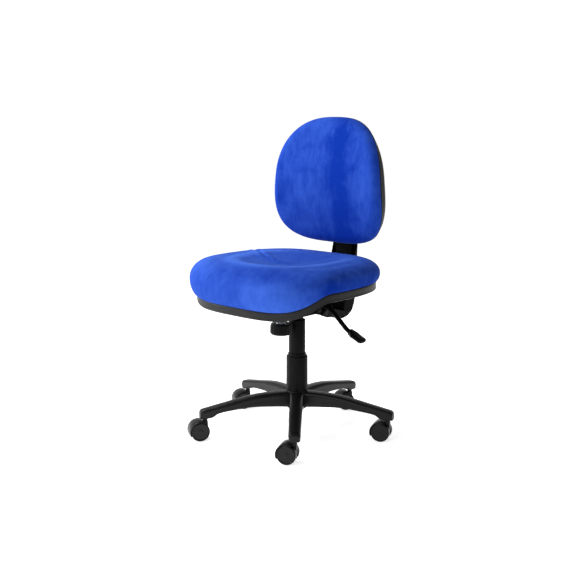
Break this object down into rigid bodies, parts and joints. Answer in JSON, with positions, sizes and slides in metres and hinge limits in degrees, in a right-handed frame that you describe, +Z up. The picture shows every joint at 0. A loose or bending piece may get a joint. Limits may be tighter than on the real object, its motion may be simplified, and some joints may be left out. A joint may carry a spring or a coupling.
{
  "type": "swivel office chair",
  "caption": "Swivel office chair on a five-arm caster base with a gas lift, tension knob, two levers, a blue fabric seat and a height-adjustable back.",
  "frame": {"origin": "on the floor, on the axis of the gas lift", "axes": "+Z up, -Y the front of the chair, +X the left of the person sitting"},
  "size_m": [0.6399, 0.6376, 1.0011],
  "materials": {
    "black_nylon": "fine grain",
    "shell_plastic": "fine grain",
    "smooth_plastic": "satin",
    "black_steel": "powder coat",
    "bright_steel": "zinc plated",
    "blue_fabric": "brushed weave",
    "plywood": "raw"
  },
  "bodies": {
    "base": {"star_base": "black_nylon", "lift_tube": "black_steel", "guide_bush": "black_nylon", "cover_lower": "shell_plastic", "caster_stems": "bright_steel"},
    "middle_sleeve": {"cover_middle": "shell_plastic"},
    "rod": {"piston_rod": "bright_steel", "thrust_bearing": "bright_steel", "retaining_clip": "bright_steel"},
    "lift": {"pressure_cylinder": "bright_steel", "cover_upper": "shell_plastic", "mechanism_pan": "black_steel", "lever_bracket": "black_steel", "tilt_spring": "black_steel"},
    "valve": {"valve_pin": "bright_steel"},
    "height_lever": {"height_bar": "black_steel", "height_paddle": "black_nylon"},
    "seat": {"seat_plate": "black_steel", "tilt_shaft": "bright_steel", "draw_bolt": "bright_steel", "seat_shell": "shell_plastic", "seat_board": "plywood", "armrest_nuts": "bright_steel", "seat_bolts": "bright_steel", "seat_cushion": "blue_fabric"},
    "knob": {"tension_knob": "black_nylon"},
    "angle_lever": {"angle_bar": "black_steel", "angle_paddle": "black_nylon"},
    "back_arm": {"back_bracket": "black_steel", "angle_shaft": "bright_steel", "back_bar": "black_steel", "bar_bolts": "bright_steel", "bar_cover": "shell_plastic"},
    "backrest": {"back_pad": "blue_fabric", "back_panel": "plywood", "back_shell": "shell_plastic", "ratchet_sleeve": "black_nylon", "back_channel": "black_steel"},
    "caster_1": {"caster_body_1": "black_nylon", "caster_axle_1": "bright_steel"},
    "left_wheel_1": {"wheel_left_1": "smooth_plastic"},
    "right_wheel_1": {"wheel_right_1": "smooth_plastic"},
    "caster_2": {"caster_body_2": "black_nylon", "caster_axle_2": "bright_steel"},
    "left_wheel_2": {"wheel_left_2": "smooth_plastic"},
    "right_wheel_2": {"wheel_right_2": "smooth_plastic"},
    "caster_3": {"caster_body_3": "black_nylon", "caster_axle_3": "bright_steel"},
    "left_wheel_3": {"wheel_left_3": "smooth_plastic"},
    "right_wheel_3": {"wheel_right_3": "smooth_plastic"},
    "caster_4": {"caster_body_4": "black_nylon", "caster_axle_4": "bright_steel"},
    "left_wheel_4": {"wheel_left_4": "smooth_plastic"},
    "right_wheel_4": {"wheel_right_4": "smooth_plastic"},
    "caster_5": {"caster_body_5": "black_nylon", "caster_axle_5": "bright_steel"},
    "left_wheel_5": {"wheel_left_5": "smooth_plastic"},
    "right_wheel_5": {"wheel_right_5": "smooth_plastic"}
  },
  "joints": [
    {"name": "seat_swivel", "type": "hinge", "parent": "base", "child": "rod", "pos_m": [0, 0, 0.08], "axis": [0, 0, 1], "continuous": true},
    {"name": "seat_height", "type": "slide", "parent": "rod", "child": "lift", "axis": [0, 0, 1], "range_m": [-0.1, 0.02]},
    {"name": "sleeve_follow", "type": "slide", "parent": "base", "child": "middle_sleeve", "axis": [0, 0, 1], "range_m": [-0.05, 0.01]},
    {"name": "valve_press", "type": "slide", "parent": "lift", "child": "valve", "axis": [0, 0, 1], "range_m": [-0.0045, 0], "stiffness_N_per_m": 400, "springref_m": 0.002},
    {"name": "height_release", "type": "hinge", "parent": "lift", "child": "height_lever", "pos_m": [-0.051, 0, 0.449], "axis": [0, 1, 0], "range_deg": [0, 5], "stiffness_Nm_per_rad": 1.5, "springref_deg": -5.73},
    {"name": "seat_tilt", "type": "hinge", "parent": "lift", "child": "seat", "pos_m": [0, 0.03, 0.403], "axis": [-1, 0, 0], "range_deg": [0, 8], "stiffness_Nm_per_rad": 150, "springref_deg": -14.32, "deforming": ["tilt_spring"]},
    {"name": "tension_turn", "type": "hinge", "parent": "seat", "child": "knob", "pos_m": [0, -0.075, 0.35], "axis": [0, 0, 1], "continuous": true},
    {"name": "angle_release", "type": "hinge", "parent": "seat", "child": "angle_lever", "pos_m": [0.074, 0.066, 0.409], "axis": [0, -1, 0], "range_deg": [0, 8], "stiffness_Nm_per_rad": 1.5, "springref_deg": -8.59},
    {"name": "back_angle", "type": "hinge", "parent": "seat", "child": "back_arm", "pos_m": [0, 0.057, 0.393], "axis": [-1, 0, 0], "range_deg": [-5, 12]},
    {"name": "back_height", "type": "slide", "parent": "back_arm", "child": "backrest", "axis": [0, 0.0523, 0.9986], "range_m": [0, 0.06]},
    {"name": "caster_swivel_1", "type": "hinge", "parent": "base", "child": "caster_1", "pos_m": [0.19533, -0.23033, 0.05], "axis": [0, 0, 1], "continuous": true},
    {"name": "left_roll_1", "type": "hinge", "parent": "caster_1", "child": "left_wheel_1", "pos_m": [0.1774, -0.23919, 0.03], "axis": [-0.4431, 0.8965, 0], "continuous": true},
    {"name": "right_roll_1", "type": "hinge", "parent": "caster_1", "child": "right_wheel_1", "pos_m": [0.1774, -0.23919, 0.03], "axis": [-0.4431, 0.8965, 0], "continuous": true},
    {"name": "caster_swivel_2", "type": "hinge", "parent": "base", "child": "caster_2", "pos_m": [0.27941, 0.1146, 0.05], "axis": [0, 0, 1], "continuous": true},
    {"name": "left_roll_2", "type": "hinge", "parent": "caster_2", "child": "left_wheel_2", "pos_m": [0.26096, 0.10688, 0.03], "axis": [-0.3859, 0.9225, 0], "continuous": true},
    {"name": "right_roll_2", "type": "hinge", "parent": "caster_2", "child": "right_wheel_2", "pos_m": [0.26096, 0.10688, 0.03], "axis": [-0.3859, 0.9225, 0], "continuous": true},
    {"name": "caster_swivel_3", "type": "hinge", "parent": "base", "child": "caster_3", "pos_m": [-0.02264, 0.30115, 0.05], "axis": [0, 0, 1], "continuous": true},
    {"name": "left_roll_3", "type": "hinge", "parent": "caster_3", "child": "left_wheel_3", "pos_m": [-0.03264, 0.28383, 0.03], "axis": [-0.866, 0.5, 0], "continuous": true},
    {"name": "right_roll_3", "type": "hinge", "parent": "caster_3", "child": "right_wheel_3", "pos_m": [-0.03264, 0.28383, 0.03], "axis": [-0.866, 0.5, 0], "continuous": true},
    {"name": "caster_swivel_4", "type": "hinge", "parent": "base", "child": "caster_4", "pos_m": [-0.29341, 0.07153, 0.05], "axis": [0, 0, 1], "continuous": true},
    {"name": "left_roll_4", "type": "hinge", "parent": "caster_4", "child": "left_wheel_4", "pos_m": [-0.30341, 0.05421, 0.03], "axis": [-0.866, 0.5, 0], "continuous": true},
    {"name": "right_roll_4", "type": "hinge", "parent": "caster_4", "child": "right_wheel_4", "pos_m": [-0.30341, 0.05421, 0.03], "axis": [-0.866, 0.5, 0], "continuous": true},
    {"name": "caster_swivel_5", "type": "hinge", "parent": "base", "child": "caster_5", "pos_m": [-0.15869, -0.25694, 0.05], "axis": [0, 0, 1], "continuous": true},
    {"name": "left_roll_5", "type": "hinge", "parent": "caster_5", "child": "left_wheel_5", "pos_m": [-0.16869, -0.27426, 0.03], "axis": [-0.866, 0.5, 0], "continuous": true},
    {"name": "right_roll_5", "type": "hinge", "parent": "caster_5", "child": "right_wheel_5", "pos_m": [-0.16869, -0.27426, 0.03], "axis": [-0.866, 0.5, 0], "continuous": true}
  ],
  "couplings": [
    {"joint": "sleeve_follow", "follows": "seat_height", "ratio": 0.5},
    {"joint": "valve_press", "follows": "height_release", "m_per_rad": -0.051}
  ]
}
